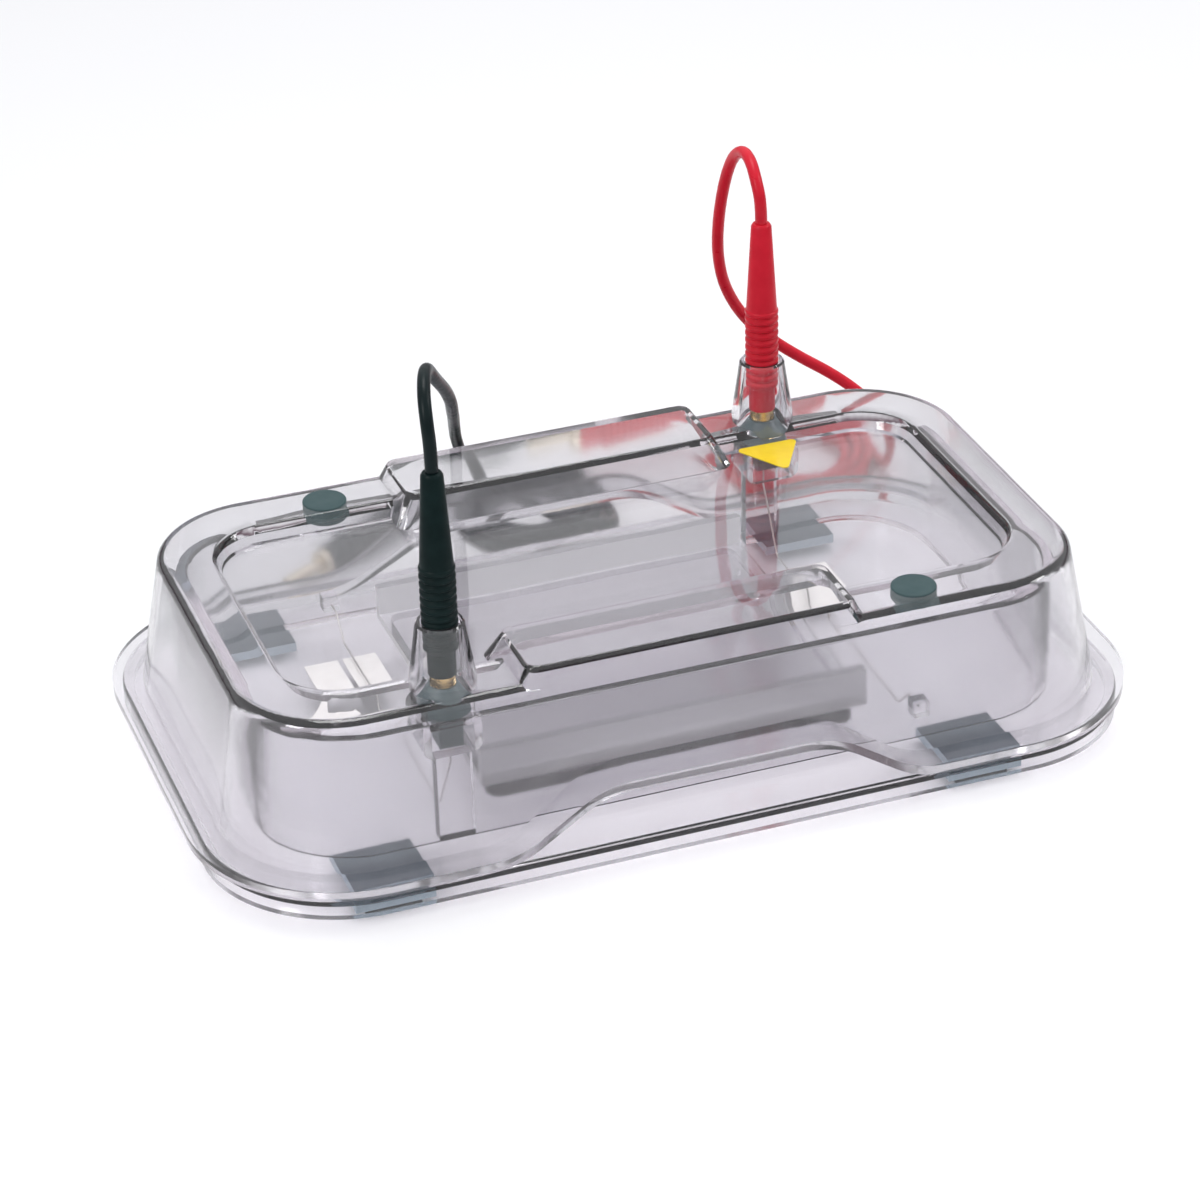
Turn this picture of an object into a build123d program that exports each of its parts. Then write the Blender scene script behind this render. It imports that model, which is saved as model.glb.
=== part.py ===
"""Horizontal electrophoresis tank: a clear tank with two electrodes, a gel tray, a clear lid and two leads.

Millimetres. +X runs along the long side, +Y to the back, +Z up. The origin is on the table, under the
middle of the tank. The black electrode is at the front left, the red one at the back right.
"""

import os
from math import cos, pi, radians, sin, tan

from build123d import *

os.makedirs("parts", exist_ok=True)

# Feet: a grey block under each corner of the tank, with a black rubber pad below it.
pad_width = 17.0
pad_depth = 16.0
pad_height = 3.0
pad_corner = 3.0
foot_width = 24.0
foot_depth = 26.0
foot_height = 3.0
foot_left_past_bend = 9.15
foot_right_short_of_bend = 2.85
foot_lip_gap = 1.4

# Tank: flange plate with a down-turned lip, upright wall, sunk floor and raised platform.
base_corner = 44.0
base_thickness = 4.0
base_edge = 1.5
lip_depth = 3.0
lip_thickness = 3.5
tank_length = 256.0
tank_width = 138.4
tank_corner = 31.0
tank_wall = 3.5
tank_floor = 3.0
tank_height = 40.0
rim_edge = 1.0
platform_length = 118.0
platform_width = 100.0
platform_height = 6.0
platform_corner = 4.0

# Electrodes: a post in a clear pocket of the long wall, with a gold pin and a platinum wire.
post_inset = 5.2
pocket_width = 18.0
pocket_tray_gap = 3.5
pocket_height = 13.0
pocket_depth = 14.5
pocket_corner = 3.5
pocket_wall = 2.5
pocket_top_wall = 3.5
pillar_width = 11.0
pillar_depth = 4.0
post_stem = 7.3
post_stem_length = 7.5
post_cap_radius = 7.9
post_cap_height = 4.5
post_cone_height = 4.1
post_neck_radius = 4.2
pin_radius = 2.0
pin_length = 10.4
shank_radius = 1.5
shank_stub = 1.0
fit_gap = 0.1
wire_radius = 0.3
wire_floor_gap = 1.6
wire_bend = 2.5
wire_end_inset = 13.0
wire_drop = 5.0
boss_size = 5.0
boss_lift = 9.0

# Blank labels on the floor of the tank.
label_thickness = 0.2
label_pane_width = 11.0
label_pane_length = 22.0
label_pane_gap = 1.6
label_left_gap = 7.4
label_right_gap = 10.7
label_right_width = 19.0
label_y = 30.0

# Gel tray: a flat plate with a wall along each long side, open at both ends.
tray_overhang_x = 3.0
tray_overhang_y = 2.0
tray_seat_gap = 0.2
tray_floor = 2.5
tray_wall = 3.0
tray_wall_height = 9.7

# Lid: one clear sheet with leaning walls, a flange with an arch on each long side, a sunk panel,
# two raised grips and a chimney over each electrode. Margins are past the tank, overhangs past its flange.
lid_top_margin_x = 5.0
lid_top_margin_y = 2.6
lid_overhang_x = 3.65
lid_overhang_y = 1.75
lid_corner = 49.0
lid_sheet = 3.0
lid_seat_gap = 0.2
lid_rim_gap = 4.8
lid_flange = 9.0
lid_lean_x = 8.0
lid_lean_y = 10.9
lid_top_corner = 32.3
lid_shoulder = 4.0
arch_half_foot = 63.5
arch_half_top = 36.0
arch_height = 18.0
arch_bend = 30.0
panel_margin_x = 18.0
panel_post_gap = 2.2
panel_rim_gap = 0.3
panel_slope = 2.5
panel_corner = 17.0
panel_edge = 1.5
grip_half_length = 54.0
grip_width = 30.0
grip_height = 5.0
grip_lean = 2.5
grip_corner = 4.0
grip_inner_corner = 1.0
grip_edge = 1.5
chimney_height = 21.2
chimney_wall = 1.5
chimney_boot_gap = 0.4
chimney_flare = 2.5
chimney_edge = 0.6
post_gap = 0.6

# Rubber plugs in the two spare ports of the lid.
port_plug_radius = 6.6
port_plug_taper = 0.3
port_plug_below = 2.6
port_plug_above = 0.4
port_gap = 0.3

# Plain triangular tag stuck on the sunk panel beside the red chimney.
tag_side = 22.0
tag_shift = 3.0
tag_corner = 1.5
tag_thickness = 0.3
tag_panel_gap = 0.3

# Power leads: a ribbed boot over a gold socket, and a flexible cable.
cable_diameter = 3.9
sleeve_radius = 4.35
sleeve_length = 8.0
rib_radius = 5.4
groove_radius = 4.7
rib_count = 11
rib_pitch = 2.5
taper_radius = 5.0
taper_length = 29.8
boot_end_radius = 3.3
boot_end_length = 1.0
boot_end_step = 0.6
socket_collar_radius = 3.9
socket_collar_height = 2.9
socket_radius = 3.2
socket_depth = 10.5
socket_gap = 0.2
slide_gap = 0.3
supply_pin_radius = 2.0
supply_pin_length = 16.0

# Coils of the cable that is put away behind the tank.
black_coil_radius = 26.0
red_coil_radius = 28.0
coil_gap = 0.6
coil_draw_in = 1.0
coil_gap_skip = 37.7
coil_leave = 5.6
coil_end_dip = 0.0175
coil_in_quarters = 10
coil_out_quarters = 9
black_coil_end_turn = 30.0
red_coil_end_turn = 0.0
coil_back_y = 121.0
cable_floor_gap = 0.05
black_coil_x = 13.0
red_coil_x = 112.5

# Plan sizes that follow from the sizes above. The lid works out at 300 mm by 183.4 mm.
top_half_length = tank_length / 2 + lid_top_margin_x
top_half_width = tank_width / 2 + lid_top_margin_y
foot_half_length = top_half_length + lid_lean_x
foot_half_width = top_half_width + lid_lean_y
lid_length = 2 * (foot_half_length + lid_flange)
lid_width = 2 * (foot_half_width + lid_flange)
base_length = lid_length - 2 * lid_overhang_x
base_width = lid_width - 2 * lid_overhang_y
base_bend_x = base_length / 2 - base_corner
foot_left_x = -(base_bend_x + foot_left_past_bend - foot_width / 2)
foot_right_x = base_bend_x - foot_right_short_of_bend - foot_width / 2
tray_length = platform_length + 2 * tray_overhang_x
tray_width = platform_width + 2 * tray_overhang_y
wall_inner_y = tank_width / 2 - tank_wall
post_x = tray_length / 2 + pocket_tray_gap + pocket_width / 2
post_y = wall_inner_y - post_inset
panel_half_x = top_half_length - panel_margin_x
panel_half_y = post_y - post_cap_radius - panel_post_gap
chimney_base_radius = post_cap_radius + post_gap + chimney_wall
chimney_top_radius = rib_radius + chimney_boot_gap + chimney_wall
cable_radius = cable_diameter / 2
coil_pitch = cable_diameter + coil_gap

# Levels that follow from the sizes above.
block_z = pad_height
plate_z = block_z + foot_height
plate_top = plate_z + base_thickness
floor_z = plate_z + tank_floor
rim_z = plate_top + tank_height
pocket_top = rim_z
platform_top = floor_z + platform_height
tray_z = platform_top + tray_seat_gap
flange_z = plate_top + lid_seat_gap
ceiling_z = rim_z + lid_rim_gap
lid_top = ceiling_z + lid_sheet
panel_z = rim_z + panel_rim_gap + lid_sheet
grip_top = lid_top + grip_height
cone_z = pocket_top + post_cap_height
neck_z = cone_z + post_cone_height
socket_z = neck_z + socket_gap
boot_z = socket_z + socket_collar_height
ribs_length = rib_count * rib_pitch
boot_length = sleeve_length + ribs_length + taper_length
boot_top = boot_z + boot_length
stem_z = pocket_top - pocket_top_wall - post_stem_length
boss_z = floor_z + boss_lift
cable_rest_z = cable_radius + cable_floor_gap


def keep(piece, name):
    """Label one finished piece and write its file."""
    piece.part.label = name
    export_step(piece.part, f"parts/{name}.step")


def turned(outline, foot, up=Vector(0, 0, 1)):
    """A piece turned about the line through foot along up, from (radius, height) points."""
    side = Vector(0, 0, 1).cross(up) if abs(up.Z) < 0.5 else Vector(0, 1, 0)
    section = Plane(origin=foot, x_dir=up.cross(side), z_dir=side)
    with BuildPart() as piece:
        with BuildSketch(section):
            with BuildLine():
                Polyline(*outline, close=True)
            make_face()
        revolve(axis=Axis(foot, up))
    return piece


# Tank
with BuildPart() as tank:
    with BuildSketch(Plane.XY.offset(plate_z)):
        RectangleRounded(base_length, base_width, base_corner)
    extrude(amount=base_thickness)
    plate_rim = tank.faces().sort_by(Axis.Z)[-1].edges()
    fillet(plate_rim, base_edge)
    with BuildSketch(Plane.XY.offset(plate_z - lip_depth)):
        RectangleRounded(base_length, base_width, base_corner)
        RectangleRounded(
            base_length - 2 * lip_thickness,
            base_width - 2 * lip_thickness,
            base_corner - lip_thickness,
            mode=Mode.SUBTRACT,
        )
    extrude(amount=lip_depth)
    with BuildSketch(Plane.XY.offset(plate_z)):
        RectangleRounded(tank_length, tank_width, tank_corner)
    extrude(amount=rim_z - plate_z)
    with BuildSketch(Plane.XY.offset(floor_z)):
        RectangleRounded(tank_length - 2 * tank_wall, tank_width - 2 * tank_wall, tank_corner - tank_wall)
    extrude(amount=rim_z - floor_z, mode=Mode.SUBTRACT)
    fillet(tank.faces().sort_by(Axis.Z)[-1].edges(), rim_edge)
    with BuildSketch(Plane.XY.offset(floor_z)):
        RectangleRounded(platform_length, platform_width, platform_corner)
    extrude(amount=platform_height)
    for side in (-1, 1):
        # The pocket hangs on the inside of the long wall. Its hollow is open below.
        face_y = side * (wall_inner_y - pocket_depth)
        pocket_front = Plane(
            origin=(side * post_x, face_y, pocket_top - pocket_height / 2),
            x_dir=(-side, 0, 0),
            z_dir=(0, side, 0),
        )
        with BuildSketch(pocket_front) as pocket_outline:
            Rectangle(pocket_width, pocket_height)
            lower = pocket_outline.vertices().group_by(Axis.Z)[0]
            fillet(lower, pocket_corner)
        extrude(amount=pocket_depth + rim_edge + fit_gap)
        hollow_depth = pocket_depth - pocket_wall
        with BuildSketch(Plane.XY.offset(pocket_top - pocket_height)):
            with Locations((side * post_x, side * (wall_inner_y - hollow_depth / 2))):
                Rectangle(pocket_width - 2 * pocket_wall, hollow_depth)
        extrude(amount=pocket_height - pocket_top_wall, mode=Mode.SUBTRACT)
        with BuildSketch(Plane.XY.offset(pocket_top - pocket_top_wall)):
            with Locations((side * post_x, side * post_y)):
                Rectangle(post_stem + 2 * fit_gap, post_stem + 2 * fit_gap)
        extrude(amount=pocket_top_wall, mode=Mode.SUBTRACT)
        # A pillar on the wall carries the pocket.
        with BuildSketch(Plane.XY.offset(floor_z - fit_gap)):
            with Locations((side * post_x, side * (wall_inner_y - pillar_depth / 2))):
                Rectangle(pillar_width, pillar_depth + fit_gap)
        extrude(amount=pocket_top - pocket_height - floor_z + 2 * fit_gap)
        # A small boss on the far wall holds the end of the wire.
        with Locations((side * post_x, -side * (wall_inner_y + (fit_gap - boss_size) / 2), boss_z)):
            Box(boss_size, boss_size + fit_gap, boss_size)
keep(tank, "tank")

# Feet
foot_y = base_width / 2 - lip_thickness - foot_lip_gap - foot_depth / 2
for end, foot_x in (("left", foot_left_x), ("right", foot_right_x)):
    for row, side in (("front", -1), ("back", 1)):
        with BuildPart() as foot_block:
            with BuildSketch(Plane.XY.offset(block_z)):
                with Locations((foot_x, side * foot_y)):
                    Rectangle(foot_width, foot_depth)
            extrude(amount=foot_height)
        keep(foot_block, f"foot_block_{row}_{end}")
        pad_y = foot_y + (foot_depth - pad_depth) / 2
        with BuildPart() as foot_pad:
            with BuildSketch():
                with Locations((foot_x, side * pad_y)):
                    RectangleRounded(pad_width, pad_depth, pad_corner)
            extrude(amount=pad_height)
        keep(foot_pad, f"foot_pad_{row}_{end}")

# Electrodes. The black one is at the front left and the red one at the back right.
for colour, side in (("black", -1), ("red", 1)):
    place_x = side * post_x
    place_y = side * post_y
    with BuildPart() as post:
        with BuildSketch(Plane.XY.offset(pocket_top)):
            with Locations((place_x, place_y)):
                Circle(post_cap_radius)
        extrude(amount=post_cap_height)
        with BuildSketch(Plane.XY.offset(cone_z)):
            with Locations((place_x, place_y)):
                Circle(post_cap_radius)
        with BuildSketch(Plane.XY.offset(neck_z)):
            with Locations((place_x, place_y)):
                Circle(post_neck_radius)
        loft()
        with BuildSketch(Plane.XY.offset(stem_z)):
            with Locations((place_x, place_y)):
                Rectangle(post_stem, post_stem)
        extrude(amount=pocket_top - stem_z)
        with BuildSketch(Plane.XY.offset(stem_z)):
            with Locations((place_x, place_y)):
                Circle(shank_radius + fit_gap)
        extrude(amount=neck_z - stem_z, mode=Mode.SUBTRACT)
    keep(post, f"electrode_post_{colour}")

    shank_length = neck_z - stem_z + shank_stub
    tip = pin_radius / 2
    pin = turned(
        [(0, 0), (shank_radius, 0), (shank_radius, shank_length), (pin_radius, shank_length),
         (pin_radius, shank_length + pin_length - tip), (tip, shank_length + pin_length),
         (0, shank_length + pin_length)],
        Vector(place_x, place_y, stem_z - shank_stub),
    )
    keep(pin, f"electrode_pin_{colour}")

    # The wire drops from the pin, crosses the chamber just over its floor and ends at its boss.
    wire_top = stem_z - shank_stub
    wire_z = floor_z + wire_floor_gap
    far_face = side * (wall_inner_y - boss_size)
    with BuildPart() as wire:
        with BuildLine() as wire_path:
            FilletPolyline(
                (place_x, place_y, wire_top),
                (place_x, place_y, wire_top - wire_drop),
                (place_x, place_y - side * wire_end_inset, wire_z),
                (place_x, -far_face + side * wire_end_inset, wire_z),
                (place_x, -far_face + side * wire_drop, boss_z),
                (place_x, -far_face, boss_z),
                radius=wire_bend,
            )
        with BuildSketch(Plane(origin=wire_path.line @ 0, z_dir=wire_path.line % 0)):
            Circle(wire_radius)
        sweep(path=wire_path.line)
    keep(wire, f"electrode_wire_{colour}")

# Blank labels
pane_x = platform_length / 2 + label_left_gap + label_pane_width / 2
for name, centre_x, width in (
    ("label_left_outer", -pane_x - label_pane_width - label_pane_gap, label_pane_width),
    ("label_left_inner", -pane_x, label_pane_width),
    ("label_right", platform_length / 2 + label_right_gap + label_right_width / 2, label_right_width),
):
    with BuildPart() as label:
        with BuildSketch(Plane.XY.offset(floor_z)):
            with Locations((centre_x, label_y)):
                Rectangle(width, label_pane_length)
        extrude(amount=label_thickness)
    keep(label, name)

# Gel tray
with BuildPart() as gel_tray:
    with BuildSketch(Plane.XY.offset(tray_z)):
        Rectangle(tray_length, tray_width)
    extrude(amount=tray_floor)
    with BuildSketch(Plane.XY.offset(tray_z + tray_floor)):
        with Locations((0, (tray_width - tray_wall) / 2), (0, -(tray_width - tray_wall) / 2)):
            Rectangle(tray_length, tray_wall)
    extrude(amount=tray_wall_height)
keep(gel_tray, "gel_tray")

# Lid. The walls lean in evenly from the flange to the top, so each level has its own outline.
foot_outline = (foot_half_length, foot_half_width, lid_corner - lid_flange)
top_outline = (top_half_length, top_half_width, lid_top_corner)


def wall_outline(z, inset=0.0):
    """Half length, half width and corner radius of the lid's wall at height z, inset by a thickness."""
    share = (z - flange_z) / (lid_top - flange_z)
    return [a + (b - a) * share - inset for a, b in zip(foot_outline, top_outline)]


def wall_sketch(z, inset=0.0):
    """The outline of the lid's wall at height z."""
    half_length, half_width, corner = wall_outline(z, inset)
    with BuildSketch(Plane.XY.offset(z)) as outline:
        RectangleRounded(2 * half_length, 2 * half_width, corner)
    return outline.sketch


def arch_line(lift):
    """Outline of the flange seen from the front: flat ends and a raised middle."""
    low = flange_z + lift
    high = low + arch_height
    return FilletPolyline(
        (-lid_length, low),
        (-arch_half_foot, low),
        (-arch_half_top, high),
        (arch_half_top, high),
        (arch_half_foot, low),
        (lid_length, low),
        radius=arch_bend,
    )


def panel_sketch(z, outset):
    """The outline of the sunk panel at height z. It opens upwards from the panel to the top."""
    spread = outset + panel_slope * (z - panel_z) / (lid_top - panel_z)
    with BuildSketch(Plane.XY.offset(z)) as outline:
        RectangleRounded(2 * (panel_half_x + spread), 2 * (panel_half_y + spread), panel_corner + spread)
    return outline.sketch


def grip_sketch(z, inset):
    """The outline of the front grip at height z. It leans in on all sides, and outside with the wall."""
    lean = grip_lean * (z - lid_top) / grip_height
    outer_y = wall_outline(z)[1] - inset
    inner_y = top_half_width - grip_width + lean + inset
    half = grip_half_length - lean - inset
    with BuildSketch(Plane.XY.offset(z)) as outline:
        with Locations((0, -(outer_y + inner_y) / 2)):
            RectangleRounded(2 * half, outer_y - inner_y, max(grip_corner - inset, grip_inner_corner))
    return outline.sketch


with BuildPart() as panel_cut:
    add(panel_sketch(panel_z, 0))
    add(panel_sketch(lid_top, 0))
    loft(ruled=True)
with BuildPart() as panel_back:
    add(panel_sketch(panel_z - lid_sheet, lid_sheet / 2))
    add(panel_sketch(ceiling_z, lid_sheet / 2))
    loft(ruled=True)
with BuildPart() as grip:
    add(grip_sketch(panel_z - lid_sheet / 2, 0))
    add(grip_sketch(grip_top, 0))
    loft(ruled=True)
    fillet(grip.faces().sort_by(Axis.Z)[-1].edges(), grip_edge)
    mirror(about=Plane.XZ)
with BuildPart() as grip_hollow:
    add(grip_sketch(panel_z - 2 * lid_sheet, lid_sheet))
    add(grip_sketch(grip_top - lid_sheet, lid_sheet))
    loft(ruled=True)
    mirror(about=Plane.XZ)

with BuildPart() as lid_hollow:
    add(wall_sketch(flange_z, lid_sheet))
    add(wall_sketch(ceiling_z, lid_sheet))
    loft(ruled=True)
    add(panel_back.part, mode=Mode.SUBTRACT)
    add(grip_hollow.part)

with BuildPart() as arch_flange:
    with BuildSketch(Plane.XZ):
        with BuildLine():
            under = arch_line(0)
            over = arch_line(lid_sheet)
            Line(under @ 0, over @ 0)
            Line(under @ 1, over @ 1)
        make_face()
    extrude(amount=lid_width / 2, both=True)
    with BuildSketch(Plane.XY.offset(flange_z)):
        RectangleRounded(lid_length, lid_width, lid_corner)
    extrude(amount=arch_height + 2 * lid_sheet, mode=Mode.INTERSECT)
with BuildPart() as arch_gap:
    with BuildSketch(Plane.XZ):
        with BuildLine():
            under = arch_line(0)
            Polyline(under @ 0, (-lid_length, 0), (lid_length, 0), under @ 1)
        make_face()
    extrude(amount=lid_width, both=True)

bore_waist_radius = chimney_base_radius - 2 * chimney_wall
bore_top_radius = chimney_top_radius - chimney_wall
chimney_top = lid_top + chimney_height
port_hole_radius = port_plug_radius + port_gap

with BuildPart() as lid:
    add(wall_sketch(flange_z))
    add(wall_sketch(lid_top))
    loft(ruled=True)
    fillet(lid.faces().sort_by(Axis.Z)[-1].edges(), lid_shoulder)
    add(panel_cut.part, mode=Mode.SUBTRACT)
    fillet(lid.faces().sort_by(Axis.Z)[-1].inner_wires()[0].edges(), panel_edge)
    add(grip.part)
    add(arch_flange.part)
    for side in (-1, 1):
        with BuildSketch(Plane(origin=(side * post_x, side * post_y, 0), x_dir=(1, 0, 0), z_dir=(0, -1, 0))):
            with BuildLine():
                Polyline(
                    (0, ceiling_z),
                    (chimney_base_radius, ceiling_z),
                    (chimney_base_radius, lid_top + chimney_flare),
                    (chimney_top_radius, chimney_top - chimney_edge),
                    (chimney_top_radius - chimney_edge, chimney_top),
                    (0, chimney_top),
                    close=True,
                )
            make_face()
        revolve(axis=Axis((side * post_x, side * post_y, 0), (0, 0, 1)))
    add(lid_hollow.part, mode=Mode.SUBTRACT)
    add(arch_gap.part, mode=Mode.SUBTRACT)
    for side in (-1, 1):
        with BuildSketch(Plane(origin=(side * post_x, side * post_y, 0), x_dir=(1, 0, 0), z_dir=(0, -1, 0))):
            with BuildLine():
                Polyline(
                    (0, cone_z - lid_sheet),
                    (post_cap_radius + post_gap, cone_z - lid_sheet),
                    (post_cap_radius + post_gap, cone_z),
                    (bore_waist_radius, lid_top + chimney_flare),
                    (bore_top_radius, chimney_top),
                    (0, chimney_top),
                    close=True,
                )
            make_face()
        revolve(axis=Axis((side * post_x, side * post_y, 0), (0, 0, 1)), mode=Mode.SUBTRACT)
    with Locations((-post_x, post_y, lid_top), (post_x, -post_y, lid_top)):
        Hole(port_hole_radius, 2 * lid_sheet)
keep(lid, "lid")

# Rubber plugs in the spare ports
for end, side in (("left", -1), ("right", 1)):
    height = port_plug_below + lid_sheet + port_plug_above
    plug = turned(
        [(0, 0), (port_plug_radius - port_plug_taper, 0), (port_plug_radius, height), (0, height)],
        Vector(side * post_x, -side * post_y, ceiling_z - port_plug_below),
    )
    keep(plug, f"port_plug_{end}")

# Plain tag
tag_height = tag_side * cos(radians(30))
tag_x = post_x - tag_shift
tag_top_y = panel_half_y - tag_panel_gap
with BuildPart() as tag:
    with BuildSketch(Plane.XY.offset(panel_z)) as tag_face:
        with BuildLine():
            Polyline(
                (tag_x - tag_side / 2, tag_top_y),
                (tag_x + tag_side / 2, tag_top_y),
                (tag_x, tag_top_y - tag_height),
                close=True,
            )
        make_face()
        fillet(tag_face.vertices(), tag_corner)
    extrude(amount=tag_thickness)
keep(tag, "lid_tag")


def boot_outline():
    """The boot's section: socket bore, plain sleeve, ribs and a slim taper to the cable."""
    bore = socket_radius + fit_gap
    points = [(bore, 0), (sleeve_radius, 0), (sleeve_radius, sleeve_length)]
    for index in range(rib_count):
        low = sleeve_length + index * rib_pitch
        points += [
            (groove_radius, low),
            (groove_radius, low + 0.25 * rib_pitch),
            (rib_radius, low + 0.4 * rib_pitch),
            (rib_radius, low + 0.85 * rib_pitch),
        ]
    end = boot_length
    points += [
        (taper_radius, sleeve_length + ribs_length),
        (boot_end_radius, end - boot_end_length),
        (boot_end_radius - boot_end_step, end),
        (0, end),
        (0, socket_depth + fit_gap),
        (bore, socket_depth + fit_gap),
    ]
    return points


def boot(foot, up, name):
    keep(turned(boot_outline(), foot, up), name)


def coil_stations(centre_x, outer_radius, end_turn):
    """Points and headings of the coil's centreline: in on the lower layer, out again on the upper one."""
    last = coil_in_quarters + 2 + coil_out_quarters
    low_z = cable_rest_z
    stations = []
    for quarter in range(last + 1):
        if quarter == coil_in_quarters + 1:
            continue
        steps = min(quarter, 2 * coil_in_quarters + 2 - quarter)
        drawn = coil_draw_in if steps == coil_in_quarters else 0.0
        radius = outer_radius - coil_pitch * steps / 4 - drawn
        angle = pi / 2 * quarter
        dip = 0.0
        if quarter == last:
            # The end leaves the turns outwards and dips, so that the plug lies on the table beside them.
            angle += radians(end_turn)
            radius += coil_leave
            dip = coil_end_dip
        z = low_z if quarter <= coil_in_quarters else low_z + coil_pitch
        stations.append(
            (
                Vector(centre_x + radius * cos(angle), coil_back_y + radius * sin(angle), z),
                Vector(-sin(angle), cos(angle), -dip).normalized(),
            )
        )
    return stations


def biarc_joint(start, heading, stop, arrival):
    """Where two tangent arcs from start to stop meet, and their heading there."""
    chord = stop - start
    a = 2 * (1 - heading.dot(arrival))
    b = 2 * chord.dot(heading + arrival)
    c = -chord.dot(chord)
    reach = (-b + (b * b - 4 * a * c) ** 0.5) / (2 * a)
    first = start + heading * reach
    second = stop - arrival * reach
    return (first + second) / 2, (second - first).normalized()


def least_gap(line, skip):
    """The least clear gap of a tube to itself, from points along its centreline."""
    count = int(line.length)
    points = [line @ (k / count) for k in range(count + 1)]
    ahead = int(skip)
    nearest = min(
        (points[i] - points[j]).length for i in range(count + 1) for j in range(i + ahead, count + 1)
    )
    return nearest - cable_diameter


def coil(colour, centre_x, outer_radius, end_turn):
    """One unbroken tube with a straight diameter at each end. Returns its end point and heading."""
    stations = coil_stations(centre_x, outer_radius, end_turn)
    first, heading = stations[0]
    last, arrival = stations[-1]
    with BuildPart() as piece:
        with BuildLine() as path:
            Line(first - heading * cable_diameter, first)
            for (start, way_out), (stop, way_in) in zip(stations, stations[1:]):
                joint, way = biarc_joint(start, way_out, stop, way_in)
                TangentArc(start, joint, tangent=way_out)
                TangentArc(joint, stop, tangent=way)
            Line(last, last + arrival * cable_diameter)
        wound = path.wires()[0]
        with BuildSketch(Plane(origin=first - heading * cable_diameter, z_dir=heading)):
            Circle(cable_radius)
        sweep(path=wound)
    gap = least_gap(wound, coil_gap_skip)
    print(f"coil_{colour}: length {wound.length:.1f}, least gap to itself {gap:.2f}, "
          f"volume {piece.part.volume:.0f} against {wound.length * pi * cable_radius ** 2:.0f}")
    keep(piece, f"coil_{colour}")
    return last + arrival * cable_diameter, arrival


def cable(colour, points):
    """The cable's free stretch: straight runs joined by tangent arcs as large as the runs allow."""
    corners = [Vector(*point) for point in points]
    radii = []
    for before, corner, after in zip(corners, corners[1:], corners[2:]):
        turn = radians((corner - before).get_angle(after - corner))
        shorter = min((corner - before).length, (after - corner).length)
        radii.append(0.45 * shorter / tan(turn / 2))
    with BuildPart() as piece:
        with BuildLine() as path:
            FilletPolyline(*corners, radius=radii)
        laid = path.wires()[0]
        with BuildSketch(Plane(origin=corners[0], z_dir=corners[1] - corners[0])):
            Circle(cable_radius)
        sweep(path=laid)
    print(f"cable_{colour}: length {laid.length:.1f}, radii {[round(r, 1) for r in radii]}, "
          f"runs {[round((b - a).length, 1) for a, b in zip(corners, corners[1:])]}, "
          f"volume {piece.part.volume:.0f} against {laid.length * pi * cable_radius ** 2:.0f}")
    keep(piece, f"cable_{colour}")


# Free stretch of each cable, chosen by hand from its boot to the start of its coil.
coil_start_y = coil_back_y - cable_diameter
black_coil_start_x = black_coil_x + black_coil_radius
red_coil_start_x = red_coil_x + red_coil_radius
black_route = [
    (-post_x, -post_y, boot_top),
    (-post_x, -post_y, 134.2),
    (-74.9, -59.6, 142.1),
    (-74.0, -55.0, 148.1),
    (-71.7, -48.3, 150.8),
    (-68.6, -40.8, 149.5),
    (-64.5, -32.0, 142.4),
    (-59.0, -19.5, 133.3),
    (-52.0, -3.5, 121.8),
    (-45.4, 13.5, 108.8),
    (-39.4, 32.5, 95.4),
    (-33.6, 54.0, 82.0),
    (-27.8, 74.5, 68.6),
    (-20.5, 88.8, 55.2),
    (-10.2, 96.6, 42.4),
    (2.2, 98.6, 29.8),
    (16.0, 96.2, 17.4),
    (27.2, 96.8, 8.6),
    (35.3, 101.0, 4.2),
    (black_coil_start_x, 108.8, cable_rest_z),
    (black_coil_start_x, coil_start_y, cable_rest_z),
]
red_route = [
    (post_x, post_y, boot_top),
    (post_x, post_y, 134.0),
    (74.2, 63.9, 140.5),
    (75.0, 70.4, 144.6),
    (75.6, 78.4, 144.8),
    (75.2, 85.7, 140.2),
    (74.3, 90.5, 131.2),
    (73.5, 94.6, 117.5),
    (74.0, 98.4, 101.5),
    (77.6, 101.2, 86.2),
    (86.6, 103.2, 71.0),
    (102.0, 104.6, 56.8),
    (121.5, 104.0, 43.0),
    (135.3, 100.8, 29.0),
    (140.2, 98.6, 15.6),
    (140.5, 101.7, 6.8),
    (red_coil_start_x, 108.8, cable_rest_z),
    (red_coil_start_x, coil_start_y, cable_rest_z),
]

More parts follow.
